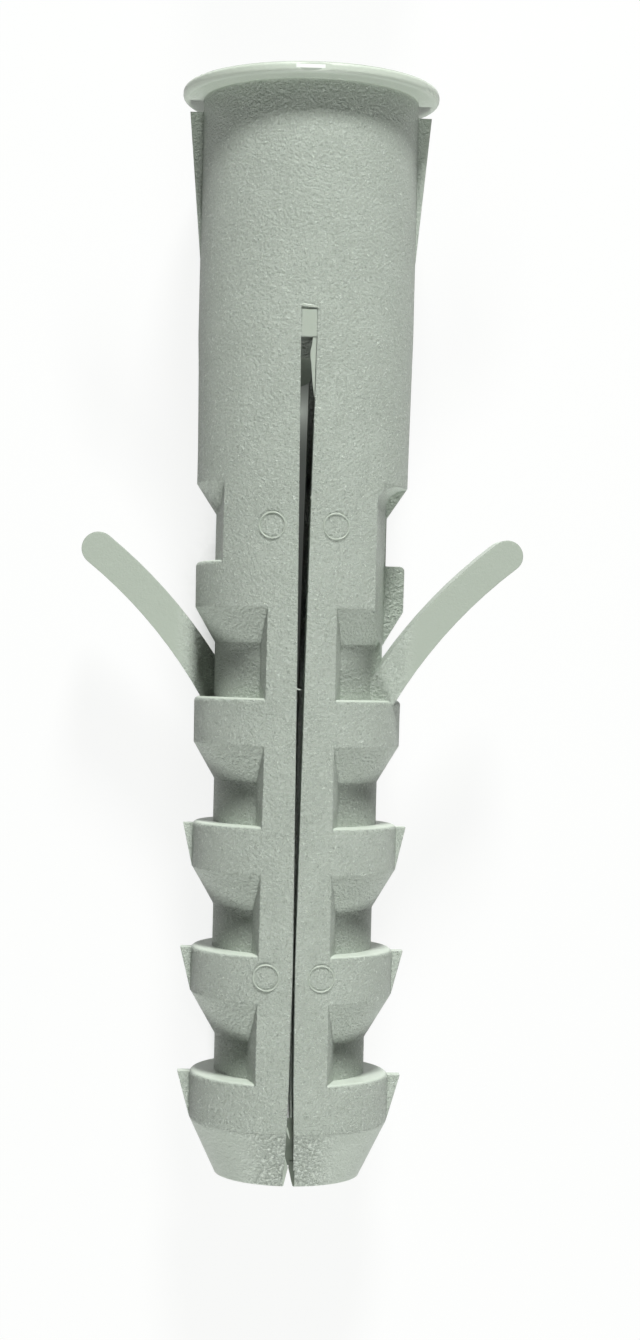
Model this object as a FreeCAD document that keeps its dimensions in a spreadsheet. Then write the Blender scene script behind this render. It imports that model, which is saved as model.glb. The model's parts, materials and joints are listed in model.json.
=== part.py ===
import FreeCAD, Part
import math
import os
import Sketcher

# Expansion plug sleeve for a 14 mm wall hole, moulded in one piece.
# The plug is built standing on its tip, with its axis on Z and the slot in the YZ plane,
# so the front faces -Y and the two tongues spring to the right and left. It is then laid on its back.
# Its two long sides are alike when it is turned half round its axis, and not mirrored.

document = FreeCAD.newDocument("expansion_plug")
sizes = document.addObject("Spreadsheet::Sheet", "sizes")

# Driving dimensions: millimetres, and degrees where the name says angle
driving = [
    ("plug_length", 70.0, "tip to rim top"),
    ("rim_radius", 8.3, ""),
    ("rim_thickness", 0.75, ""),
    ("rim_round", 0.3, "rounded edge of the rim"),
    ("gate_flat_width", 3.0, "reach of the cut that trims the gate off the rim"),
    ("gate_flat_depth", 0.07, "how far the trimmed flat lies inside the rim"),
    ("sleeve_radius", 6.97, "smooth sleeve, a hair under the 14 mm hole"),
    ("sleeve_taper", 54.0, "height below which the sleeve narrows"),
    ("shoulder_radius", 6.82, "lower end of the sleeve"),
    ("sleeve_start", 44.4, "height where the grooved shank ends"),
    ("nose_radius", 6.41, "the two halves close in towards the tip"),
    ("nose_length", 3.58, ""),
    ("nose_end_radius", 4.68, "flat end of the tip"),
    ("barb_top", 6.6, "top of the lowest barb"),
    ("barb_pitch", 8.03, ""),
    ("barb_land", 2.95, "straight length of a barb"),
    ("barb_angle", 30.5, "underside of a barb, from the axis"),
    ("barb_round", 0.33, "rounded top edge of a barb"),
    ("collar_barb_top", 39.37, "top of the barb below the sleeve"),
    ("floor_radius_low", 4.85, "groove floors, from the tip up"),
    ("floor_radius_second", 5.15, ""),
    ("floor_radius_third", 5.28, ""),
    ("floor_radius_high", 5.42, ""),
    ("strip_width", 4.1, "raised strip that carries the slot, at its face"),
    ("strip_draft_angle", 13.5, ""),
    ("side_flat", 5.53, "half width across the two side cuts at the parting plane"),
    ("side_draft_angle", 6.2, ""),
    ("shoulder_angle", 33.5, "underside of the sleeve at the side cuts, from the axis"),
    ("notch_wall", 5.48, "half width at the tongue notches, at the parting plane"),
    ("notch_draft_angle", 9.9, ""),
    ("notch_top", 44.3, ""),
    ("notch_round", 1.2, "rounded upper corner of a notch"),
    ("tongue_root", 5.04, "middle of the tongue's foot, from the axis"),
    ("tongue_root_angle", 60.5, "rise of the tongue at its foot"),
    ("tongue_tip_angle", 38.2, "rise of the tongue at its tip"),
    ("tongue_bend_radius", 32.0, ""),
    ("tongue_thickness", 2.18, "at the parting plane"),
    ("tongue_draft_angle", 1.5, ""),
    ("tongue_width", 3.0, "from the parting plane forwards or backwards"),
    ("fin_thickness", 1.0, "thin fins on the parting plane"),
    ("fin_root_depth", 0.6, "how far a fin's foot reaches into the wall"),
    ("collar_fin_radius", 7.82, ""),
    ("collar_fin_gap", 0.85, "below the rim"),
    ("collar_fin_length", 9.4, ""),
    ("barb_fin_radius", 7.2, ""),
    ("barb_fin_drop", 0.17, "below the barb's top"),
    ("slot_top", 53.2, ""),
    ("slot_top_width", 1.0, ""),
    ("slot_middle", 34.0, "height"),
    ("slot_middle_width", 0.53, ""),
    ("slot_waist", 14.0, "height where the halves nearly touch"),
    ("slot_waist_width", 0.15, ""),
    ("slot_flare", 6.5, "height"),
    ("slot_flare_width", 0.3, ""),
    ("slot_mouth_width", 0.65, "at the tip"),
    ("recess_length", 1.8, "blind recess above the slot"),
    ("recess_depth", 0.08, ""),
    ("bore_radius", 5.0, "straight part inside the sleeve"),
    ("bore_end", 46.0, "height where the straight part ends"),
    ("channel_start", 44.0, "height where the tapering screw channel begins"),
    ("channel_radius", 4.4, "at its upper end"),
    ("channel_end", 5.5, "height where the taper ends"),
    ("channel_end_radius", 1.6, ""),
    ("cut_margin", 1.0, "how far a cutting shape reaches past what it cuts"),
]
for row, (name, value, note) in enumerate(driving, start=1):
    sizes.set(f"A{row}", name)
    sizes.set(f"B{row}", str(value))
    sizes.set(f"C{row}", note)
    sizes.setAlias(f"B{row}", name)
document.recompute()


def envelope(height):
    """Outer radius of the shank at a height, as an expression."""
    return (
        "(sizes.nose_radius + (sizes.shoulder_radius - sizes.nose_radius)"
        f" * ({height} - sizes.nose_length) / (sizes.sleeve_start - sizes.nose_length))"
    )


def newBody(label):
    """An empty body with its own label."""
    body = document.addObject("PartDesign::Body", label)
    body.Label = label
    return body


def newSketch(body, name, role, lift=None):
    """A sketch on one of the body's own planes, lifted along its normal by an expression."""
    sketch = body.newObject("Sketcher::SketchObject", name)
    plane = [item for item in body.Origin.OriginFeatures if item.Role == role][0]
    sketch.AttachmentSupport = (plane, "")
    sketch.MapMode = "FlatFace"
    if lift:
        sketch.setExpression("AttachmentOffset.Base.z", lift)
    return sketch


def place(sketch, geometry, end, across, along):
    """Constraints that tie a point to its two coordinates, each with its expression."""
    ties = []
    for kind, axis, expression in (("DistanceX", -2, across), ("DistanceY", -1, along)):
        if expression == "0":
            ties.append((Sketcher.Constraint("PointOnObject", geometry, end, axis), None))
        else:
            value = float(sketch.evalExpression(expression))
            ties.append((Sketcher.Constraint(kind, -1, 1, geometry, end, value), expression))
    return ties


def tie(sketch, ties):
    """Add constraints in one go, then bind those that have an expression."""
    indexes = sketch.addConstraint([constraint for constraint, expression in ties])
    for index, (constraint, expression) in zip(indexes, ties):
        if expression:
            sketch.setExpression(f"Constraints[{index}]", expression)


def position(sketch, corner):
    """Where a corner lies when its two expressions are worked out."""
    across, along = [float(sketch.evalExpression(expression)) for expression in corner[:2]]
    return FreeCAD.Vector(across, along, 0)


def roundedCorner(sketch, corner, back, ahead):
    """A right-angled corner's rounding: its two ends, its arc, the arc's centre and which end comes first."""
    across, along, radius = corner
    point = position(sketch, corner)
    size = float(sketch.evalExpression(radius))
    toBack = (back - point).normalize()
    toAhead = (ahead - point).normalize()
    inward = toBack + toAhead
    start = point + toBack * size
    end = point + toAhead * size
    middle = point + inward * (size * (1 - math.sqrt(0.5)))
    arc = sketch.addGeometry(Part.Arc(start, middle, end), False)
    centre = (
        f"{across} {'+' if inward.x > 0 else '-'} {radius}",
        f"{along} {'+' if inward.y > 0 else '-'} {radius}",
    )
    # An arc runs counter-clockwise, so where the outline turns right it meets the arc's last point first
    turnsRight = toBack.cross(toAhead).z > 0
    return start, end, arc, centre, (2, 1) if turnsRight else (1, 2)


def outline(sketch, corners):
    """A closed outline of straight lines; a corner's third entry rounds it by that radius."""
    points = [position(sketch, corner) for corner in corners]
    count = len(corners)
    starts = list(points)
    ends = list(points)
    arcs = {}
    for number, corner in enumerate(corners):
        if len(corner) == 3:
            neighbours = (points[number - 1], points[(number + 1) % count])
            starts[number], ends[number], *arcs[number] = roundedCorner(sketch, corner, *neighbours)
    lines = []
    for number in range(count):
        line = Part.LineSegment(ends[number], starts[(number + 1) % count])
        lines.append(sketch.addGeometry(line, False))
    ties = []
    for number, corner in enumerate(corners):
        before = lines[number - 1]
        after = lines[number]
        if number not in arcs:
            ties.append((Sketcher.Constraint("Coincident", before, 2, after, 1), None))
            ties += place(sketch, after, 1, *corner)
            continue
        arc, centre, (first, last) = arcs[number]
        ties.append((Sketcher.Constraint("Tangent", before, 2, arc, first), None))
        ties.append((Sketcher.Constraint("Tangent", arc, last, after, 1), None))
        size = float(sketch.evalExpression(corner[2]))
        ties.append((Sketcher.Constraint("Radius", arc, size), corner[2]))
        ties += place(sketch, arc, 3, *centre)
    tie(sketch, ties)


def turned(body, name, sketch, kind="PartDesign::Revolution"):
    """A full turn of a sketch about its upright axis."""
    feature = body.newObject(kind, name)
    feature.Profile = sketch
    feature.ReferenceAxis = (sketch, ["V_Axis"])
    feature.Angle = 360
    return feature


def cutThrough(body, name, sketch):
    """A pocket that runs through everything on both sides of its sketch."""
    feature = body.newObject("PartDesign::Pocket", name)
    feature.Profile = sketch
    feature.Type = "ThroughAll"
    feature.SideType = "Symmetric"
    return feature


# Height of a barb's top, and of the start of its straight land, counted from the tip
barbTops = [f"(sizes.barb_top + {number} * sizes.barb_pitch)" for number in range(4)]
upperLands = [f"({top} - sizes.barb_land)" for top in barbTops[1:]]
upperLands.append("(sizes.collar_barb_top - sizes.barb_land)")
floors = ["floor_radius_low", "floor_radius_second", "floor_radius_third", "floor_radius_high"]
outside = "(sizes.rim_radius + sizes.cut_margin)"

# The barb grooves, as one cutting shape: four turned rings, with the strips beside the slot left out
grooveCutter = newBody("groove_cutter")
slope = "tan(sizes.barb_angle)"
past = "(sizes.barb_land / 10)"
for number, (top, land, floor) in enumerate(zip(barbTops, upperLands, floors), start=1):
    floorRadius = f"sizes.{floor}"
    lip = f"({top} - sizes.barb_land / 2)"
    ring = newSketch(grooveCutter, f"groove_ring_{number}", "XZ_Plane")
    outline(ring, [
        (floorRadius, top),
        (envelope(top), top, "sizes.barb_round"),
        (envelope(top), lip),
        (outside, lip),
        (outside, f"{land} + {past} / {slope}"),
        (f"{envelope(land)} + {past}", f"{land} + {past} / {slope}"),
        (floorRadius, f"({land} - ({envelope(land)} - {floorRadius}) / {slope})"),
    ])
    turned(grooveCutter, f"groove_{number}", ring)


def crossSection(sketch, face, parting, draft):
    """A six-cornered section, widest at the parting plane; its width is measured at the face."""
    reach = f"({parting} - ({outside} - {face}) * tan({draft}))"
    middle = f"({parting} + {face} * tan({draft}))"
    outline(sketch, [
        (middle, "0"),
        (reach, outside),
        (f"-{reach}", outside),
        (f"-{middle}", "0"),
        (f"-{reach}", f"-{outside}"),
        (reach, f"-{outside}"),
    ])


strips = newSketch(grooveCutter, "strip_section", "XY_Plane")
crossSection(strips, "sizes.shoulder_radius", "sizes.strip_width / 2", "sizes.strip_draft_angle")
cutThrough(grooveCutter, "strips", strips)

# The side cuts below the sleeve: one turned ring, with the broad middle of the plug left out
sideCutter = newBody("side_cutter")
ring = newSketch(sideCutter, "side_ring", "XZ_Plane")
inside = "(sizes.side_flat - sizes.barb_land / 2)"
collarLip = "(sizes.collar_barb_top - sizes.barb_land / 2)"
shoulderSlope = "tan(sizes.shoulder_angle)"
outline(ring, [
    (inside, "sizes.collar_barb_top"),
    (envelope("sizes.collar_barb_top"), "sizes.collar_barb_top", "sizes.barb_round"),
    (envelope("sizes.collar_barb_top"), collarLip),
    (outside, collarLip),
    (outside, f"sizes.sleeve_start + ({outside} - sizes.shoulder_radius) / {shoulderSlope}"),
    (inside, f"sizes.sleeve_start - (sizes.shoulder_radius - {inside}) / {shoulderSlope}"),
])
turned(sideCutter, "side_cuts", ring)
middle = newSketch(sideCutter, "middle_section", "XY_Plane")
crossSection(middle, "0", "sizes.side_flat", "sizes.side_draft_angle")
cutThrough(sideCutter, "middle", middle)

# The plug: rim, sleeve, shank and tip turned in one outline
plug = newBody("plug_sleeve")
profile = newSketch(plug, "outer_profile", "XZ_Plane")
rimUnder = "(sizes.plug_length - sizes.rim_thickness)"
outline(profile, [
    ("0", "0"),
    ("sizes.nose_end_radius", "0"),
    ("sizes.nose_radius", "sizes.nose_length"),
    ("sizes.shoulder_radius", "sizes.sleeve_start"),
    ("sizes.sleeve_radius", "sizes.sleeve_taper"),
    ("sizes.sleeve_radius", rimUnder),
    ("sizes.rim_radius", rimUnder, "sizes.rim_round"),
    ("sizes.rim_radius", "sizes.plug_length", "sizes.rim_round"),
    ("0", "sizes.plug_length"),
])
turned(plug, "outside", profile)
document.recompute()


def cutWith(name, tool):
    """Take another body's shape out of the plug."""
    feature = plug.newObject("PartDesign::Boolean", name)
    feature.Type = "Cut"
    feature.setObjects([tool])
    document.recompute()


cutWith("groove_cut", grooveCutter)
cutWith("side_cut", sideCutter)

# Thin fins on the parting plane, which keep the plug from turning in its hole


def finPair(name, top, tipRadius, foot, footRadius):
    """A fin on each side, widest at its top, that runs out at its foot."""
    sketch = newSketch(plug, f"{name}_outline", "XZ_Plane")
    root = f"({footRadius} - sizes.fin_root_depth)"
    for side in ("", "-"):
        outline(sketch, [
            (f"{side}{root}", top),
            (f"{side}{tipRadius}", top),
            (f"{side}{footRadius}", foot),
            (f"{side}{root}", foot),
        ])
    pad = plug.newObject("PartDesign::Pad", name)
    pad.Profile = sketch
    pad.SideType = "Symmetric"
    pad.setExpression("Length", "sizes.fin_thickness")
    document.recompute()


collarTop = f"({rimUnder} - sizes.collar_fin_gap)"
collarFoot = f"({collarTop} - sizes.collar_fin_length)"
finPair("collar_fins", collarTop, "sizes.collar_fin_radius", collarFoot, "sizes.sleeve_radius")
for number, top in enumerate(barbTops[:3], start=1):
    foot = f"({top} - sizes.barb_land)"
    finTop = f"({top} - sizes.barb_fin_drop)"
    finPair(f"barb_fins_{number}", finTop, "sizes.barb_fin_radius", foot, envelope(foot))

# A notch beside the front right edge, drafted so that it opens forwards
tongueSeat = barbTops[3]


def notchSection(name, lift):
    """The notch's outline at a distance in front of the parting plane."""
    sketch = newSketch(plug, name, "XZ_Plane", lift)
    wall = f"(sizes.notch_wall - {lift} * tan(sizes.notch_draft_angle))"
    outline(sketch, [
        (wall, tongueSeat),
        (outside, tongueSeat),
        (outside, "sizes.notch_top"),
        (wall, "sizes.notch_top", "sizes.notch_round"),
    ])
    return sketch


notch = plug.newObject("PartDesign::SubtractiveLoft", "notch")
notch.Profile = notchSection("notch_inner", "0")
notch.Sections = [notchSection("notch_outer", outside)]
notch.Ruled = True
document.recompute()

# A curved tongue that springs from the barb's top into the notch
tongueSketch = newSketch(plug, "tongue_profile", "XZ_Plane")
bend = "sizes.tongue_bend_radius"
bendAcross = f"(sizes.tongue_root + {bend} * sin(sizes.tongue_root_angle))"
bendAlong = f"({tongueSeat} - {bend} * cos(sizes.tongue_root_angle))"
tipAcross = f"({bendAcross} - {bend} * sin(sizes.tongue_tip_angle))"
tipAlong = f"({bendAlong} + {bend} * cos(sizes.tongue_tip_angle))"
footAlong = f"({tongueSeat} - sizes.barb_round)"


def bendPoint(offset, angle):
    """A point beside the tongue's centreline, at an angle of rise in degrees."""
    centre = FreeCAD.Vector(
        float(tongueSketch.evalExpression(bendAcross)),
        float(tongueSketch.evalExpression(bendAlong)),
        0,
    )
    reach = sizes.tongue_bend_radius + offset
    turn = math.radians(angle)
    return centre + FreeCAD.Vector(-math.sin(turn), math.cos(turn), 0) * reach


halfThick = sizes.tongue_thickness / 2
footAngle = sizes.tongue_root_angle
tipAngle = sizes.tongue_tip_angle
middleAngle = (footAngle + tipAngle) / 2
capTop = bendPoint(0, tipAngle - math.degrees(halfThick / sizes.tongue_bend_radius))
upperPoints, lowerPoints = [
    [bendPoint(offset, angle) for angle in (footAngle, middleAngle, tipAngle)]
    for offset in (halfThick, -halfThick)
]
edges = [
    Part.Arc(*upperPoints),
    Part.Arc(upperPoints[2], capTop, lowerPoints[2]),
    Part.Arc(*reversed(lowerPoints)),
    Part.LineSegment(lowerPoints[0], upperPoints[0]),
]
upper, cap, lower, foot = [tongueSketch.addGeometry(edge, False) for edge in edges]
# Arcs run counter-clockwise, so an arc that bends over clockwise starts at its tip
ties = [
    (Sketcher.Constraint("Coincident", upper, 3, lower, 3), None),
    (Sketcher.Constraint("Tangent", upper, 1, cap, 2), None),
    (Sketcher.Constraint("Tangent", lower, 1, cap, 1), None),
    (Sketcher.Constraint("Coincident", upper, 2, foot, 2), None),
    (Sketcher.Constraint("Coincident", lower, 2, foot, 1), None),
    (Sketcher.Constraint("Horizontal", foot), None),
]
ties += place(tongueSketch, upper, 3, bendAcross, bendAlong)
ties += place(tongueSketch, cap, 3, tipAcross, tipAlong)[:1]
ties += place(tongueSketch, foot, 1, tipAcross, footAlong)[1:]
for arc, sign in ((upper, "+"), (lower, "-")):
    radius = f"{bend} {sign} sizes.tongue_thickness / 2"
    value = float(tongueSketch.evalExpression(radius))
    ties.append((Sketcher.Constraint("Radius", arc, value), radius))
tie(tongueSketch, ties)
tongue = plug.newObject("PartDesign::Pad", "tongue")
tongue.Profile = tongueSketch
tongue.setExpression("Length", "sizes.tongue_width")
tongue.setExpression("TaperAngle", "-sizes.tongue_draft_angle")
document.recompute()

# A shallow recess above the slot, cut from its floor outwards
recessSketch = newSketch(plug, "recess_outline", "XZ_Plane", "sizes.sleeve_radius - sizes.recess_depth")
outline(recessSketch, [
    ("sizes.slot_top_width / 2", "sizes.slot_top - sizes.recess_depth"),
    ("sizes.slot_top_width / 2", "sizes.slot_top + sizes.recess_length"),
    ("-sizes.slot_top_width / 2", "sizes.slot_top + sizes.recess_length"),
    ("-sizes.slot_top_width / 2", "sizes.slot_top - sizes.recess_depth"),
])
recess = plug.newObject("PartDesign::Pocket", "recess")
recess.Profile = recessSketch
recess.Type = "ThroughAll"
recess.Reversed = True
document.recompute()

# A small flat on the rim's edge, where the gate was trimmed off
gateSketch = newSketch(plug, "gate_outline", "XZ_Plane", "sizes.rim_radius - sizes.gate_flat_depth")
outline(gateSketch, [
    ("sizes.gate_flat_width / 2", f"{rimUnder} - sizes.rim_round"),
    ("sizes.gate_flat_width / 2", "sizes.plug_length + sizes.rim_round"),
    ("-sizes.gate_flat_width / 2", "sizes.plug_length + sizes.rim_round"),
    ("-sizes.gate_flat_width / 2", f"{rimUnder} - sizes.rim_round"),
])
gateFlat = plug.newObject("PartDesign::Pocket", "gate_flat")
gateFlat.Profile = gateSketch
gateFlat.Type = "ThroughAll"
gateFlat.Reversed = True
document.recompute()

# All of these come again half a turn round
halfTurn = plug.newObject("PartDesign::PolarPattern", "half_turn")
halfTurn.Originals = [notch, tongue, recess, gateFlat]
halfTurn.Axis = (profile, ["V_Axis"])
halfTurn.Angle = 360
halfTurn.Occurrences = 2
plug.Tip = halfTurn
document.recompute()

# The slot, which narrows to a waist where the halves close in, and opens again at the tip
slotSketch = newSketch(plug, "slot_outline", "XZ_Plane")
slotStations = [
    ("sizes.slot_top_width", "sizes.slot_top"),
    ("sizes.slot_middle_width", "sizes.slot_middle"),
    ("sizes.slot_waist_width", "sizes.slot_waist"),
    ("sizes.slot_flare_width", "sizes.slot_flare"),
    ("sizes.slot_mouth_width", "0"),
    ("sizes.slot_mouth_width", "-sizes.cut_margin"),
]
rightEdge = [(f"{width} / 2", height) for width, height in slotStations]
leftEdge = [(f"-{width} / 2", height) for width, height in reversed(slotStations)]
outline(slotSketch, rightEdge + leftEdge)
cutThrough(plug, "slot", slotSketch)
document.recompute()

# The bore: straight in the sleeve, then tapering so that the screw spreads the halves
boreSketch = newSketch(plug, "bore_profile", "XZ_Plane")
outline(boreSketch, [
    ("0", "-sizes.cut_margin"),
    ("sizes.channel_end_radius", "-sizes.cut_margin"),
    ("sizes.channel_end_radius", "sizes.channel_end"),
    ("sizes.channel_radius", "sizes.channel_start"),
    ("sizes.bore_radius", "sizes.bore_end"),
    ("sizes.bore_radius", "sizes.plug_length + sizes.cut_margin"),
    ("0", "sizes.plug_length + sizes.cut_margin"),
])
turned(plug, "bore", boreSketch, "PartDesign::Groove")
document.recompute()

# Laid on its back, the plug touches the ground with the rim's flat and the top of its nose
rimRound = sizes.rim_round
flatHalf = math.sqrt(rimRound**2 - (rimRound - sizes.gate_flat_depth) ** 2)
rimContact = sizes.plug_length - sizes.rim_thickness + rimRound - flatHalf
drop = sizes.rim_radius - sizes.gate_flat_depth - sizes.nose_radius
lean = math.degrees(math.atan2(drop, rimContact - sizes.nose_length))
plug.Placement = FreeCAD.Placement(FreeCAD.Vector(), FreeCAD.Rotation(FreeCAD.Vector(1, 0, 0), lean - 90))
document.recompute()
box = plug.Shape.optimalBoundingBox(False)
plug.Placement.Base = FreeCAD.Vector(-box.Center.x, -box.Center.y, -box.ZMin)
document.recompute()

# Nothing is written unless every object is sound
for item in document.Objects:
    if "Invalid" in item.State or "Error" in item.State:
        raise RuntimeError(f"{item.Name} failed: {item.State}")
if plug.Shape.isNull() or not plug.Shape.isValid() or len(plug.Shape.Solids) != 1:
    raise RuntimeError("the plug is not one sound solid")
os.makedirs("parts", exist_ok=True)
plug.Shape.exportStep(f"parts/{plug.Label}.step")
print(plug.Label, "volume", round(plug.Shape.Volume, 1), "lean", round(lean, 3), box)
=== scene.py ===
import bpy
import json
import math
from mathutils import Matrix, Vector
from mathutils.bvhtree import BVHTree


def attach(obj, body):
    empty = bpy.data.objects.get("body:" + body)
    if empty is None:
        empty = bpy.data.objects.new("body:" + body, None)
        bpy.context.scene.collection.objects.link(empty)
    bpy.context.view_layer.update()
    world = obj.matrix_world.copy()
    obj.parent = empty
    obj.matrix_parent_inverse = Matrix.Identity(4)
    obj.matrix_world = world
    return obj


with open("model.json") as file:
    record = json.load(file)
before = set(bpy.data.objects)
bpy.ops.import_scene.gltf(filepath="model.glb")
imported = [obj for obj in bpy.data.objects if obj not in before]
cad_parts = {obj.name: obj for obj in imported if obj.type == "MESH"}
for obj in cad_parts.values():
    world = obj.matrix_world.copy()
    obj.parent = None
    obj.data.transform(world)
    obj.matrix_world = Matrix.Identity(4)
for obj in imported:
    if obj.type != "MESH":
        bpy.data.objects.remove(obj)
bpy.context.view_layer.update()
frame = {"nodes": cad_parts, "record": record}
mm = 0.001
print("frame loaded")


# The plug's own directions, from its mounts: up towards the rim, front out of the slot, right beside both

mounts = {mount["name"]: mount for mount in frame["record"]["mounts"]}
plugLength = 70 * mm
axisUp = Vector(mounts["screw_bore"]["axis"]).normalized()
worldUp = Vector((0, 0, 1))
axisFront = (worldUp - axisUp * worldUp.dot(axisUp)).normalized()
axisRight = axisUp.cross(axisFront)
boreMiddle = Vector(mounts["screw_bore"]["pos_m"])
rimPoint = Vector(mounts["rim_top"]["pos_m"])
tip = boreMiddle + axisUp * ((rimPoint - boreMiddle).dot(axisUp) - plugLength)


def plugPoint(right, front, up):  # a place given from the tip, in the plug's own directions
    return tip + axisRight * right + axisFront * front + axisUp * up


def linearColour(hexValue):  # sRGB hex to linear RGBA
    channels = [int(hexValue[i:i + 2], 16) / 255 for i in (1, 3, 5)]
    linear = [c / 12.92 if c <= 0.04045 else ((c + 0.055) / 1.055) ** 2.4 for c in channels]
    return (*linear, 1.0)


def addNode(tree, kind, sockets=None, **settings):  # one node with its settings, values and links
    node = tree.nodes.new(kind)
    for name, value in settings.items():
        setattr(node, name, value)
    for name, value in (sockets or {}).items():
        if isinstance(value, bpy.types.NodeSocket):
            tree.links.new(value, node.inputs[name])
        else:
            node.inputs[name].default_value = value
    return node


def newMaterial(name):
    material = bpy.data.materials.new(name)
    material.use_nodes = True
    material.node_tree.nodes.clear()
    return material, material.node_tree


def plugMeasures(tree):  # where the shaded point lies, from the tip's middle, in mm
    place = addNode(tree, "ShaderNodeTexCoord").outputs["Object"]
    fromTip = addNode(tree, "ShaderNodeVectorMath", {0: place, 1: tip}, operation="SUBTRACT").outputs[0]
    measures = {"place": place}
    for name, direction in (("right", axisRight), ("forward", axisFront), ("height", axisUp)):
        measures[name] = addNode(tree, "ShaderNodeVectorMath", {
            0: fromTip,
            1: direction / mm,
        }, operation="DOT_PRODUCT").outputs["Value"]
    measures["aside"] = addNode(tree, "ShaderNodeMath", {
        0: measures["right"],
    }, operation="ABSOLUTE").outputs[0]
    return measures


def areaShare(tree, measures, ramps, share=1.0):  # how far an area is open: all its ramps multiplied
    for name, shut, opened in ramps:
        ramp = addNode(tree, "ShaderNodeMapRange", {
            "Value": measures[name],
            "From Min": shut,
            "From Max": opened,
        }, interpolation_type="SMOOTHSTEP")
        share = addNode(tree, "ShaderNodeMath", {
            0: share,
            1: ramp.outputs["Result"],
        }, operation="MULTIPLY").outputs[0]
    return share


# Camera: looks down on the plug lying on its back, square to its axis

camera = {
    "level": 32.69 * mm,       # height on the plug that lies straight ahead
    "distance": 155 * mm,
    "nearest": 5 * mm,
    "lens": 64.17,             # millimetres, for the film's long side below
    "filmSide": 36,
    "turn": 1.7,               # degrees round the plug, towards its left
    "roll": 1.36,              # degrees that the plug leans to the right
    "aimPixel": (298, 667.2),  # where that point lies in the picture
    "picture": (640, 1340),
}


def makeCamera(c):
    turn = math.radians(c["turn"])
    roll = math.radians(c["roll"])
    back = axisFront * math.cos(turn) - axisRight * math.sin(turn)
    side = axisUp.cross(back)
    up = axisUp * math.cos(roll) - side * math.sin(roll)
    side = up.cross(back)
    data = bpy.data.cameras.new("camera")
    data.lens = c["lens"]
    data.sensor_fit = "AUTO"
    data.sensor_width = c["filmSide"]
    wide, high = c["picture"]
    data.shift_x = (wide / 2 - c["aimPixel"][0]) / high
    data.shift_y = (c["aimPixel"][1] - high / 2) / high
    data.clip_start = c["nearest"]
    body = bpy.data.objects.new("camera", data)
    place = plugPoint(0, 0, c["level"]) + back * c["distance"]
    body.matrix_world = Matrix.Translation(place) @ Matrix((side, up, back)).transposed().to_4x4()
    bpy.context.scene.collection.objects.link(body)
    bpy.context.scene.camera = body


makeCamera(camera)
print("camera placed")


# White card under soft light from the rim's side, and a weaker one from the tip's

studio = {
    "cardColour": "#f4f4f4",
    "cardBounce": "#c0c0c0",     # what the card throws back on the plug
    "cardSize": 0.9,             # metres
    "cardWhite": 0.9,            # share of the open card that the camera sees as plain white
    "cardShade": 16 * mm,        # how near the plug that share fades
    "shadeSamples": 16,
    "shadeEdge": (0.2, 0.38),    # how open the card is where that share starts, and where it is whole
    "underColour": "#4c4c4c",    # the card straight below the plug, in its deepest shade
    "underSides": (2.5, 5.5),    # mm to either side of the plug's middle, from shade to open card
    "underEnds": (30.0, 34.0),   # the same along the plug
    "glows": [                   # light that gets through to the card below, in mm along the plug
        {"height": 50.3, "reach": 7, "share": 0.3, "falloff": 5},    # through the slots
        {"height": 46, "reach": 25, "share": 0.075, "falloff": 1},   # wide and weak, through the nylon
    ],
    "glowColour": "#eaf3e8",     # tinted by the nylon that it passed
    "worldColour": "#f6f7f2",
    "worldStrength": 0.085,
    "lampDistance": 0.5,         # metres
    "lamps": {                   # degrees above the plug's axis and to its right, metres across, watts
        "keyLamp": {"towards": 1, "rise": 26, "side": 4, "size": 0.1, "power": 3.42},    # beyond the rim
        "lowLamp": {"towards": -1, "rise": 28, "side": 4, "size": 0.14, "power": 2.25},  # beyond the tip
    },
}


def cardGlow(tree, place, glows):  # pools of light on the card
    total = 0.0
    for glow in glows:
        under = plugPoint(0, 0, glow["height"] * mm)
        under.z = 0
        away = addNode(tree, "ShaderNodeVectorMath", {0: place, 1: under}, operation="DISTANCE")
        near = addNode(tree, "ShaderNodeMapRange", {
            "Value": away.outputs["Value"],
            "From Min": glow["reach"] * mm,
            "From Max": 0.0,
        })
        bent = addNode(tree, "ShaderNodeMath", {
            0: near.outputs["Result"],
            1: glow["falloff"],
        }, operation="POWER")
        total = addNode(tree, "ShaderNodeMath", {
            0: bent.outputs[0],
            1: glow["share"],
            2: total,
        }, operation="MULTIPLY_ADD").outputs[0]
    return total


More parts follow.
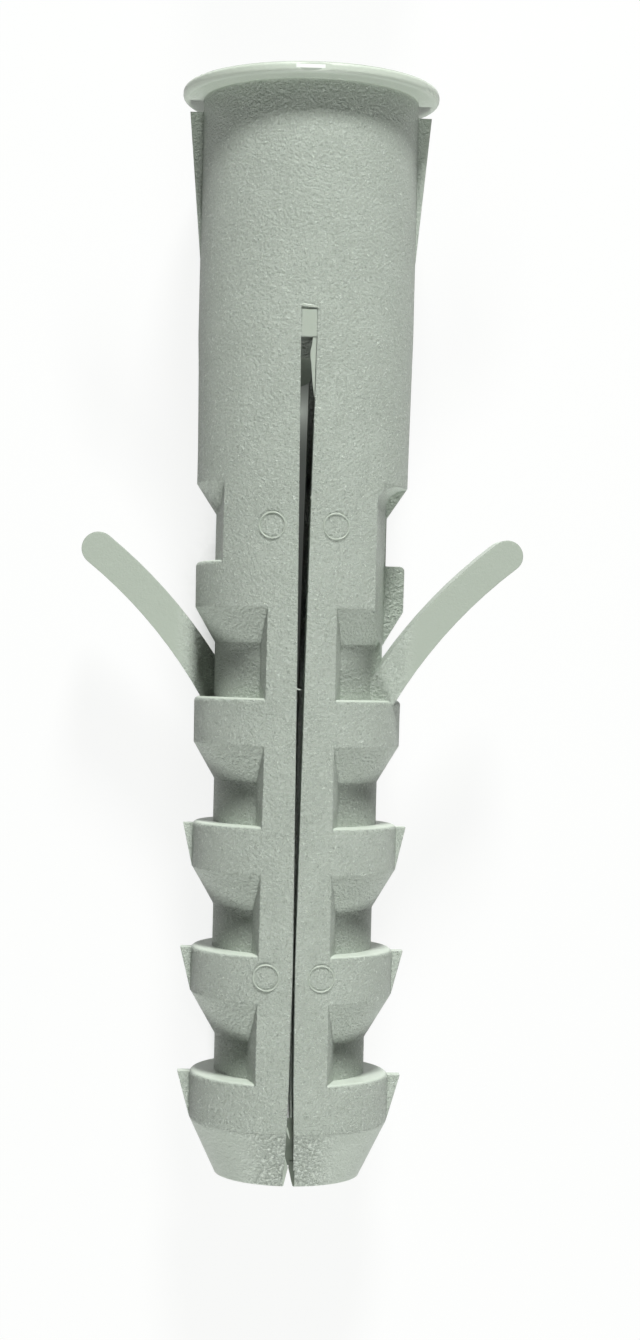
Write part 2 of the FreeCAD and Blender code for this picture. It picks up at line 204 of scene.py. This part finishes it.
def makeCard(name, s):  # matt white card, which the camera and reflections see as white where it lies open
    material, tree = newMaterial(name)
    measures = plugMeasures(tree)
    fromMiddle = addNode(tree, "ShaderNodeMath", {
        0: measures["height"],
        1: plugLength / mm / 2,
    }, operation="SUBTRACT")
    measures["endways"] = addNode(tree, "ShaderNodeMath", {
        0: fromMiddle.outputs[0],
    }, operation="ABSOLUTE").outputs[0]
    measures["openness"] = addNode(tree, "ShaderNodeAmbientOcclusion", {
        "Distance": s["cardShade"],
    }, samples=s["shadeSamples"]).outputs["AO"]
    outside = addNode(tree, "ShaderNodeMath", {
        0: areaShare(tree, measures, [("aside", *s["underSides"])]),
        1: areaShare(tree, measures, [("endways", *s["underEnds"])]),
    }, operation="MAXIMUM").outputs[0]

    ray = addNode(tree, "ShaderNodeLightPath")
    seen = addNode(tree, "ShaderNodeMath", {
        0: ray.outputs["Is Camera Ray"],
        1: ray.outputs["Is Glossy Ray"],
    }, operation="MAXIMUM").outputs[0]
    below = addNode(tree, "ShaderNodeMix", {
        "Factor": outside,
        "A": linearColour(s["underColour"]),
        "B": linearColour(s["cardColour"]),
    }, data_type="RGBA")
    colour = addNode(tree, "ShaderNodeMix", {
        "Factor": seen,
        "A": linearColour(s["cardBounce"]),
        "B": below.outputs["Result"],
    }, data_type="RGBA")
    card = addNode(tree, "ShaderNodeBsdfDiffuse", {"Color": colour.outputs["Result"]})

    openShare = addNode(tree, "ShaderNodeMath", {
        0: areaShare(tree, measures, [("openness", *s["shadeEdge"])], s["cardWhite"]),
        1: outside,
    }, operation="MULTIPLY").outputs[0]
    lit = addNode(tree, "ShaderNodeMath", {
        0: openShare,
        1: cardGlow(tree, measures["place"], s["glows"]),
    }, operation="MAXIMUM")
    share = addNode(tree, "ShaderNodeMath", {0: seen, 1: lit.outputs[0]}, operation="MULTIPLY")
    tint = addNode(tree, "ShaderNodeMix", {
        "Factor": openShare,
        "A": linearColour(s["glowColour"]),
        "B": (1, 1, 1, 1),
    }, data_type="RGBA")
    white = addNode(tree, "ShaderNodeEmission", {"Color": tint.outputs["Result"], "Strength": 1.0})
    mix = addNode(tree, "ShaderNodeMixShader", {
        0: share.outputs[0],
        1: card.outputs[0],
        2: white.outputs[0],
    })
    addNode(tree, "ShaderNodeOutputMaterial", {"Surface": mix.outputs[0]})
    return material


def makeFloor(s):
    half = s["cardSize"] / 2
    mesh = bpy.data.meshes.new("floor")
    corners = [(-half, -half, 0), (half, -half, 0), (half, half, 0), (-half, half, 0)]
    mesh.from_pydata(corners, [], [(0, 1, 2, 3)])
    mesh.materials.append(makeCard("white_card", s))
    floor = bpy.data.objects.new("floor", mesh)
    bpy.context.scene.collection.objects.link(floor)


def makeLamp(name, lamp, distance):
    rise = math.radians(lamp["rise"])
    side = math.radians(lamp["side"])
    flat = axisUp * lamp["towards"] * math.cos(side) + axisRight * math.sin(side)
    direction = flat * math.cos(rise) + axisFront * math.sin(rise)
    data = bpy.data.lights.new(name, "AREA")
    data.shape = "DISK"
    data.size = lamp["size"]
    data.energy = lamp["power"]
    body = bpy.data.objects.new(name, data)
    place = Matrix.Translation(plugPoint(0, 0, plugLength / 2) + direction * distance)
    body.matrix_world = place @ direction.to_track_quat("Z", "Y").to_matrix().to_4x4()
    bpy.context.scene.collection.objects.link(body)


def makeWorld(s):
    world = bpy.data.worlds.new("studio")
    world.use_nodes = True
    world.node_tree.nodes.clear()
    around = addNode(world.node_tree, "ShaderNodeBackground", {
        "Color": linearColour(s["worldColour"]),
        "Strength": s["worldStrength"],
    })
    addNode(world.node_tree, "ShaderNodeOutputWorld", {"Surface": around.outputs[0]})
    bpy.context.scene.world = world


makeFloor(studio)
for name, lamp in studio["lamps"].items():
    makeLamp(name, lamp, studio["lampDistance"])
makeWorld(studio)
bpy.context.scene.view_settings.view_transform = "Standard"
print("studio set")


# Nylon 6, injection moulded in a spark-eroded mould: an even, milky grey-green with a fine hard grain
# that glints where light grazes it; here its glints are painted highlights on the ridges, and its hollows
# painted shade. The rim, the tongues and the barb tops come off polished steel.

nylon = {
    "colour": "#bcc6ba",
    "deepColour": "#b6c0b4",    # in soft patches
    "paintedGlintColour": "#e4eee2",   # painted highlights on the ridges of the grain and the sparkles beside the mouth
    "pitShadeColour": "#98a296",     # painted shade in the hollows of the grain
    "tongueColour": "#aeb8ab",
    "topLightColour": "#c1cbbe",     # barb tops, polished, and painted lighter where they face the lamp beyond the rim
    "rimShadeColour": "#b0baad",     # painted shade on the rim's underside
    "thinLightColour": "#d0dacc",    # painted light: the rim's thin side made paler, as light passes through it
    "edgeColour": "#9ca699",    # darker along the rim's upper edge
    "gateHighlightColour": "#f3f7f3",    # painted highlight: the sheared face where the sprue was cut from the rim, made near white
    "dentShadeColour": "#a4aea2",    # painted shade in the dent below that face
    "boreShadeColour": "#535b51",    # painted shade on the walls deep inside the bore and the slot, fading out towards the rim
    "noises": {                 # size in mm, detail, roughness
        "grain": (0.2, 4.0, 0.65),  # the sparks' small craters
        "wave": (1.1, 2.0, 0.5),    # sink and flow marks
        "worm": (0.28, 1.0, 0.5),   # short ridges between the grains, coarser than real so that they show
        "patch": (3.0, 3.0, 0.5),
    },
    "grainDepth": 0.24,         # mm
    "wormDepth": 0.08,          # mm
    "waveDepth": 0.02,          # mm
    "edgeRadius": 0.09,         # mm
    "edgeSamples": 4,
    "roughness": 0.46,
    "ridgePolish": 0.16,        # how much smoother the ridges of the grain are
    "ior": 1.53,
    "milkiness": 0.12,          # share of light that goes under the surface
    "milkDepth": 0.5,           # mm
    "milkRadius": (1.0, 1.0, 0.9),
    "dentMiddle": (-0.31, 69.53),  # mm, right and up
    "dentReach": (0.7, 0.15),      # mm, half its width and height
    # Where each look lies: a measure, where it is shut and where it is fully open. Places are in mm from
    # the tip's middle, upward is 1 on a face that looks towards the rim, and noises run from 0 to 1.
    "areas": {
        "patches": [("patch", 0.3, 0.7)],
        "worms": [("ridge", 0.035, 0.01), ("grain", 0.42, 0.56)],
        "pits": [("grain", 0.42, 0.28)],
        "sparkles": [("grain", 0.5, 0.6)],
        "rim": [("height", 69.0, 69.3)],
        "belowRim": [("height", 69.0, 61.0)],
        "outer": [("radius", 6.8, 8.3)],      # fins and tongues
        "top": [("upward", 0.6, 0.9)],
        "sidelong": [("upward", -0.7, -0.3), ("upward", 0.85, 0.6)],
        "nose": [("height", 3.6, 3.3), ("aside", 1.0, 3.5)],
        "mouthSides": [("height", 3.6, 3.3), ("aside", 3.4, 1.2)],
        "bore": [("radius", 5.12, 5.02), ("height", 43.5, 45.0)],
        "slot": [("radius", 6.85, 6.6), ("aside", 0.6, 0.5), ("height", 47.0, 49.0)],
        "rimEdge": [("height", 69.87, 69.92), ("radius", 7.9, 8.0)],
        "front": [("forward", 8.0, 8.1)],
        "dent": [("dent", 1.0, 0.8)],
        "gate": [
            ("right", -1.25, -1.2), ("right", 0.6, 0.55),
            ("height", 69.53, 69.55), ("height", 69.78, 69.76),
        ],
    },
    "polished": {"rim": 1.0, "outer": 1.0, "top": 1.0, "nose": 0.7},  # how much of the grain is gone there
    "grainLeft": 0.15,          # what is left of it where it is most polished
    # Colours laid over one another in this order: colour, share, the areas where it shows. Rough is what
    # isn't polished, and hollow is the bore and the slot together.
    "layers": [
        ("paintedGlintColour", 1.0, "worms", "rough"),
        ("pitShadeColour", 1.0, "pits", "rough"),
        ("paintedGlintColour", 1.0, "mouthSides", "sparkles"),
        ("tongueColour", 1.0, "outer"),
        ("topLightColour", 1.0, "top"),
        ("rimShadeColour", 1.0, "rim"),
        ("boreShadeColour", 0.9, "hollow", "belowRim"),
        ("thinLightColour", 0.8, "rim", "sidelong"),
        ("edgeColour", 0.7, "rimEdge"),
        ("dentShadeColour", 1.0, "front", "dent"),
        ("gateHighlightColour", 1.0, "front", "gate"),
    ],
}


def nylonMeasures(tree, n):
    measures = plugMeasures(tree)
    flat = addNode(tree, "ShaderNodeCombineXYZ", {0: measures["right"], 1: measures["forward"]})
    measures["radius"] = addNode(tree, "ShaderNodeVectorMath", {
        0: flat.outputs[0],
    }, operation="LENGTH").outputs["Value"]
    measures["upward"] = addNode(tree, "ShaderNodeVectorMath", {
        0: addNode(tree, "ShaderNodeNewGeometry").outputs["True Normal"],
        1: axisUp,
    }, operation="DOT_PRODUCT").outputs["Value"]
    spread = addNode(tree, "ShaderNodeCombineXYZ", {0: measures["right"], 1: measures["height"]})
    fromDent = addNode(tree, "ShaderNodeVectorMath", {
        0: spread.outputs[0],
        1: (*n["dentMiddle"], 0),
    }, operation="SUBTRACT")
    scaled = addNode(tree, "ShaderNodeVectorMath", {
        0: fromDent.outputs[0],
        1: (*n["dentReach"], 1),
    }, operation="DIVIDE").outputs[0]
    measures["dent"] = addNode(tree, "ShaderNodeVectorMath", {
        0: scaled,
        1: scaled,
    }, operation="DOT_PRODUCT").outputs["Value"]
    for name, (size, detail, roughness) in n["noises"].items():
        measures[name] = addNode(tree, "ShaderNodeTexNoise", {
            "Vector": measures["place"],
            "Scale": 1 / (size * mm),
            "Detail": detail,
            "Roughness": roughness,
        }).outputs["Fac"]
    fromMean = addNode(tree, "ShaderNodeMath", {0: measures["worm"], 1: 0.5}, operation="SUBTRACT")
    measures["ridge"] = addNode(tree, "ShaderNodeMath", {
        0: fromMean.outputs[0],
    }, operation="ABSOLUTE").outputs[0]
    return measures


def nylonAreas(tree, n, measures):
    areas = {name: areaShare(tree, measures, ramps) for name, ramps in n["areas"].items()}
    areas["hollow"] = addNode(tree, "ShaderNodeMath", {
        0: areas["bore"],
        1: areas["slot"],
    }, operation="MAXIMUM").outputs[0]
    polished = 0.0
    for name, share in n["polished"].items():
        part = addNode(tree, "ShaderNodeMath", {0: areas[name], 1: share}, operation="MULTIPLY")
        polished = addNode(tree, "ShaderNodeMath", {
            0: polished,
            1: part.outputs[0],
        }, operation="MAXIMUM").outputs[0]
    areas["rough"] = addNode(tree, "ShaderNodeMath", {0: 1.0, 1: polished}, operation="SUBTRACT").outputs[0]
    return areas


def nylonColour(tree, n, areas):
    colour = addNode(tree, "ShaderNodeMix", {
        "Factor": areas["patches"],
        "A": linearColour(n["deepColour"]),
        "B": linearColour(n["colour"]),
    }, data_type="RGBA")
    for colourName, share, *names in n["layers"]:
        for name in names:
            share = addNode(tree, "ShaderNodeMath", {
                0: share,
                1: areas[name],
            }, operation="MULTIPLY").outputs[0]
        colour = addNode(tree, "ShaderNodeMix", {
            "Factor": share,
            "A": colour.outputs["Result"],
            "B": linearColour(n[colourName]),
        }, data_type="RGBA")
    return colour.outputs["Result"]


def nylonRelief(tree, n, measures, areas):  # rounded edges, then the wave, then the grain with its ridges
    bevel = addNode(tree, "ShaderNodeBevel", {"Radius": n["edgeRadius"] * mm}, samples=n["edgeSamples"])
    waved = addNode(tree, "ShaderNodeBump", {
        "Height": measures["wave"],
        "Distance": n["waveDepth"] * mm,
        "Normal": bevel.outputs["Normal"],
    })
    relief = addNode(tree, "ShaderNodeMath", {
        0: areas["worms"],
        1: n["wormDepth"] / n["grainDepth"],
        2: measures["grain"],
    }, operation="MULTIPLY_ADD")
    strength = addNode(tree, "ShaderNodeMath", {
        0: areas["rough"],
        1: 1 - n["grainLeft"],
        2: n["grainLeft"],
    }, operation="MULTIPLY_ADD")
    bump = addNode(tree, "ShaderNodeBump", {
        "Height": relief.outputs[0],
        "Distance": n["grainDepth"] * mm,
        "Strength": strength.outputs[0],
        "Normal": waved.outputs["Normal"],
    })
    return bump.outputs["Normal"]


def makeNylon(name, n):
    material, tree = newMaterial(name)
    measures = nylonMeasures(tree, n)
    areas = nylonAreas(tree, n, measures)
    polish = addNode(tree, "ShaderNodeMath", {
        0: areas["worms"],
        1: -n["ridgePolish"],
        2: n["roughness"],
    }, operation="MULTIPLY_ADD")
    surface = addNode(tree, "ShaderNodeBsdfPrincipled", {
        "Base Color": nylonColour(tree, n, areas),
        "Roughness": polish.outputs[0],
        "IOR": n["ior"],
        "Subsurface Weight": n["milkiness"],
        "Subsurface Radius": n["milkRadius"],
        "Subsurface Scale": n["milkDepth"] * mm,
        "Normal": nylonRelief(tree, n, measures, areas),
    })
    addNode(tree, "ShaderNodeOutputMaterial", {"Surface": surface.outputs[0]})
    return material


mouldedNylon = makeNylon("moulded_nylon", nylon)
plug = frame["nodes"]["plug_sleeve"]
for materialSlot in plug.material_slots:
    materialSlot.material = mouldedNylon
print("plug dressed")


# The plug's skin, found by rays, so that every small mark lies on the moulding itself

skin = BVHTree.FromObject(plug, bpy.context.evaluated_depsgraph_get())
rayStart = 20 * mm  # from the axis, well outside the plug
sides = {"front": 1, "back": -1}


def skinPoint(right, up, facing, lift=0.0):  # a place on the front or the back, in mm
    start = plugPoint(right * facing * mm, rayStart * facing, up * mm)
    spot, normal = skin.ray_cast(start, -axisFront * facing)[:2]
    return spot + normal * lift * mm


def addPiece(name, points, faces, material, soft=False):
    mesh = bpy.data.meshes.new(name)
    mesh.from_pydata(points, [], faces)
    mesh.materials.append(material)
    mesh.validate()
    for polygon in mesh.polygons:
        polygon.use_smooth = soft
    piece = bpy.data.objects.new(name, mesh)
    bpy.context.scene.collection.objects.link(piece)
    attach(piece, "root")


def grid(columns, rows, closed=False):  # faces between rows of points, closed to a ring or open
    faces = []
    for row in range(rows - 1):
        for column in range(columns if closed else columns - 1):
            following = (column + 1) % columns
            first = row * columns
            second = first + columns
            faces.append((first + column, first + following, second + following, second + column))
    return faces


def tube(columns, rows):  # a closed grid with a face across each end
    last = (rows - 1) * columns
    ends = [tuple(range(columns)), tuple(reversed(range(last, last + columns)))]
    return grid(columns, rows, closed=True) + ends


# The same nylon where it is a fraction of a millimetre thin: paler, glossier and without the mould's grain

thinNylon = {
    "colour": "#b9c3b6",
    "deepColour": "#aeb8ab",
    "paintedShadeColour": "#7d867a",      # painted shade for films that lie deep in the slot, as on the bore's wall
    "paintedShadeDeepColour": nylon["boreShadeColour"],
    "patchSize": 0.8,               # mm
    "waveSize": 0.35,               # mm
    "waveDepth": 0.02,              # mm
    "waveDetail": 3.0,
    "roughness": 0.36,
    "ior": nylon["ior"],
    "milkiness": 0.3,
    "milkDepth": 0.3,               # mm
    "milkRadius": nylon["milkRadius"],
}


def makeThinNylon(name, t, pale, deep):
    material, tree = newMaterial(name)
    place = addNode(tree, "ShaderNodeTexCoord").outputs["Object"]
    wave = addNode(tree, "ShaderNodeTexNoise", {
        "Vector": place,
        "Scale": 1 / (t["waveSize"] * mm),
        "Detail": t["waveDetail"],
    })
    patch = addNode(tree, "ShaderNodeTexNoise", {"Vector": place, "Scale": 1 / (t["patchSize"] * mm)})
    colour = addNode(tree, "ShaderNodeMix", {
        "Factor": patch.outputs["Fac"],
        "A": linearColour(deep),
        "B": linearColour(pale),
    }, data_type="RGBA")
    bump = addNode(tree, "ShaderNodeBump", {
        "Height": wave.outputs["Fac"],
        "Distance": t["waveDepth"] * mm,
    })
    surface = addNode(tree, "ShaderNodeBsdfPrincipled", {
        "Base Color": colour.outputs["Result"],
        "Roughness": t["roughness"],
        "IOR": t["ior"],
        "Subsurface Weight": t["milkiness"],
        "Subsurface Radius": t["milkRadius"],
        "Subsurface Scale": t["milkDepth"] * mm,
        "Normal": bump.outputs["Normal"],
    })
    addNode(tree, "ShaderNodeOutputMaterial", {"Surface": surface.outputs[0]})
    return material


nylonFlash = makeThinNylon("nylon_flash", thinNylon, thinNylon["colour"], thinNylon["deepColour"])
# The same thin nylon painted darker, as shade, for the films deep in the slot and in the mouth
nylonFlashPaintedShade = makeThinNylon(
    "nylon_flash_painted_shade", thinNylon, thinNylon["paintedShadeColour"], thinNylon["paintedShadeDeepColour"]
)


# Rings that the ejector pins left, two pairs on the front and two on the back

pinRing = {
    "places": [(-2.0, 41.5), (2.0, 41.5), (-1.73, 13.3), (1.73, 13.3)],  # right and up, mm
    "radius": 0.8,   # mm
    "width": 0.11,   # mm
    "height": 0.08,  # mm
    "section": [(0.5, -0.03), (0.34, 0.55), (0.05, 1.0), (-0.3, 0.8), (-0.5, -0.03)],  # of width and height
    "steps": 72,
}


def makePinRing(name, r, right, up, facing):
    points = []
    for outwards, upwards in r["section"]:
        radius = r["radius"] + outwards * r["width"]
        for step in range(r["steps"]):
            turn = 2 * math.pi * step / r["steps"]
            spot = (right + radius * math.cos(turn), up + radius * math.sin(turn))
            points.append(skinPoint(*spot, facing, upwards * r["height"]))
    faces = grid(r["steps"], len(r["section"]), closed=True)
    addPiece(name, points, faces, nylonFlash, soft=True)


for side, facing in sides.items():
    for number, (right, up) in enumerate(pinRing["places"], start=1):
        makePinRing(f"pinRing_{side}_{number}", pinRing, right, up, facing)
print("pin rings made")


# Flash in the slot: thin films of nylon where the mould's slot blade did not seal, with ragged free edges

# The back film and the mouth's films, but the left one, use the thin nylon painted darker as shade
slotFilm = {
    "thickness": 0.1,            # mm
    "shares": (0, 0.3, 0.7, 1),  # points across a film
    "levelAside": 0.62,          # mm to the right of the slot's middle, where the skin's level is taken
    "films": {                   # rows: height, left and right edge, mm from the slot's middle
        "front": {
            "facing": 1,
            "sink": 0.05,          # mm, how far it lies below the skin
            "levelFrom": 0.0,      # mm, below this height it runs parallel to the axis
            "material": nylonFlash,
            "rows": [
                (53.4, 0.24, 0.47), (53.1, 0.23, 0.47), (52.75, 0.2, 0.465), (52.45, 0.13, 0.46),
                (52.2, 0.1, 0.455), (51.9, 0.12, 0.45), (51.6, 0.17, 0.445), (51.2, 0.2, 0.44),
                (50.8, 0.24, 0.44), (50.4, 0.28, 0.435), (50.0, 0.33, 0.43), (49.7, 0.38, 0.43),
                (49.45, 0.41, 0.43),
            ],
        },
        "back": {
            "facing": -1,
            "sink": 1.85,
            "levelFrom": 0.0,
            "material": nylonFlashPaintedShade,
            "rows": [
                (53.4, -0.55, 0.55), (52.9, -0.54, 0.54), (52.4, -0.53, 0.54), (52.05, -0.53, 0.54),
                (51.8, -0.5, 0.54), (51.65, -0.3, 0.53), (51.5, 0.05, 0.53), (51.38, 0.3, 0.53),
            ],
        },
        "mouth": {
            "facing": 1,
            "sink": 1.2,
            "levelFrom": 3.7,
            "material": nylonFlashPaintedShade,
            "rows": [
                (4.4, -0.3, 0.3), (3.6, -0.32, 0.32), (2.8, -0.34, 0.34), (2.1, -0.35, 0.35),
                (1.6, -0.36, 0.36), (1.45, -0.36, 0.36),
            ],
        },
        "mouthLeft": {
            "facing": 1,
            "sink": 1.14,
            "levelFrom": 3.7,
            "material": nylonFlash,
            "rows": [
                (2.3, -0.38, -0.33), (1.9, -0.38, -0.22), (1.5, -0.38, -0.1), (1.3, -0.38, -0.04),
                (0.9, -0.38, -0.14), (0.5, -0.38, -0.23), (0.15, -0.38, -0.31),
            ],
        },
        "mouthRight": {
            "facing": 1,
            "sink": 1.16,
            "levelFrom": 3.7,
            "material": nylonFlashPaintedShade,
            "rows": [
                (1.7, 0.0, 0.38), (1.3, -0.02, 0.38), (0.9, 0.08, 0.38), (0.5, 0.17, 0.38),
                (0.15, 0.27, 0.38),
            ],
        },
    },
}


def overSlot(right, up, facing, sink, lowest=0.0):  # a place level with the skin beside the slot, in mm
    beside = skinPoint(slotFilm["levelAside"], max(up, lowest), facing)
    level = (beside - tip).dot(axisFront * facing) / mm
    return plugPoint(right * facing * mm, (level - sink) * facing * mm, up * mm)


def makeFilm(name, film, thickness, shares):
    points = []
    for height, left, right in film["rows"]:
        across = [left + (right - left) * share for share in shares]
        for depth, places in ((0, across), (thickness, reversed(across))):
            sink = film["sink"] + depth
            points += [overSlot(place, height, film["facing"], sink, film["levelFrom"]) for place in places]
    addPiece(name, points, tube(2 * len(shares), len(film["rows"])), film["material"])


for name, film in slotFilm["films"].items():
    makeFilm(f"slotFilm_{name}", film, slotFilm["thickness"], slotFilm["shares"])
print("slot films made")


# The skin that closes the recess over the slot, and the burr along the recess's upper edge

recess = {
    "skin": (-0.455, 0.455, 53.22, 54.94),  # mm: left, right, low, high
    "bevel": (0.03, 0.02),  # mm, its sloping edge at the sides and the top, and at the bottom
    "drop": 0.088,          # mm, how far its outermost edge lies below the plug's skin
    "lift": 0.004,          # mm, how far its face stands over it
    "lip": [                # right, up, radius
        (-0.56, 55.12, 0.03), (-0.42, 55.2, 0.1), (-0.2, 55.15, 0.085), (0.05, 55.13, 0.095),
        (0.3, 55.1, 0.07), (0.5, 55.05, 0.055), (0.57, 54.95, 0.02),
    ],
}


def makeRecessSkin(name, r, facing):
    left, right, low, high = r["skin"]
    inwards, upwards = r["bevel"]
    columns = [left, left, left + inwards, right - inwards, right, right]
    rows = [low, low + upwards, (low + high) / 2, high - inwards, high]
    points = []
    for row, up in enumerate(rows):
        for column, place in enumerate(columns):
            edge = row in (0, len(rows) - 1) or column in (0, len(columns) - 1)
            points.append(overSlot(place, up, facing, r["drop"] if edge else -r["lift"]))
    addPiece(name, points, grid(len(columns), len(rows)), nylonFlash)


def makeBead(name, places, radii, facing, steps=8):  # a small burr: its line and its radius along it
    points = []
    for number, radius in enumerate(radii):
        before = places[max(number - 1, 0)]
        after = places[min(number + 1, len(places) - 1)]
        forward = (after - before).normalized()
        side = forward.cross(axisFront * facing).normalized()
        outward = side.cross(forward)
        for step in range(steps):
            turn = 2 * math.pi * step / steps
            reach = side * math.cos(turn) + outward * math.sin(turn)
            points.append(places[number] + reach * radius * mm)
    addPiece(name, points, tube(steps, len(places)), nylonFlash, soft=True)


for side, facing in sides.items():
    makeRecessSkin(f"recessSkin_{side}", recess, facing)
    line = [skinPoint(right, up, facing) for right, up, radius in recess["lip"]]
    makeBead(f"recessLip_{side}", line, [radius for right, up, radius in recess["lip"]], facing)
print("recesses covered")


# Loose threads of nylon at the slot's front edges

whisker = {
    "sink": 0.01,  # mm, how far a thread's middle lies below the skin
    "threads": {   # right, up, radius
        "upper": [(0.42, 48.12, 0.03), (0.5, 48.06, 0.05), (0.6, 47.94, 0.045), (0.7, 47.8, 0.015)],
        "right": [(0.44, 43.38, 0.02), (0.39, 43.3, 0.06), (0.36, 43.2, 0.045), (0.4, 43.08, 0.015)],
        "left": [(-0.34, 31.36, 0.02), (-0.24, 31.34, 0.05), (-0.1, 31.3, 0.04), (0.03, 31.3, 0.012)],
        "mouth": [(-0.26, 4.15, 0.02), (-0.2, 3.95, 0.07), (-0.12, 3.65, 0.065), (-0.02, 3.3, 0.015)],
    },
}
for name, thread in whisker["threads"].items():
    line = [overSlot(right, up, sides["front"], whisker["sink"]) for right, up, radius in thread]
    makeBead(f"whisker_{name}", line, [radius for right, up, radius in thread], sides["front"])
print("threads made")
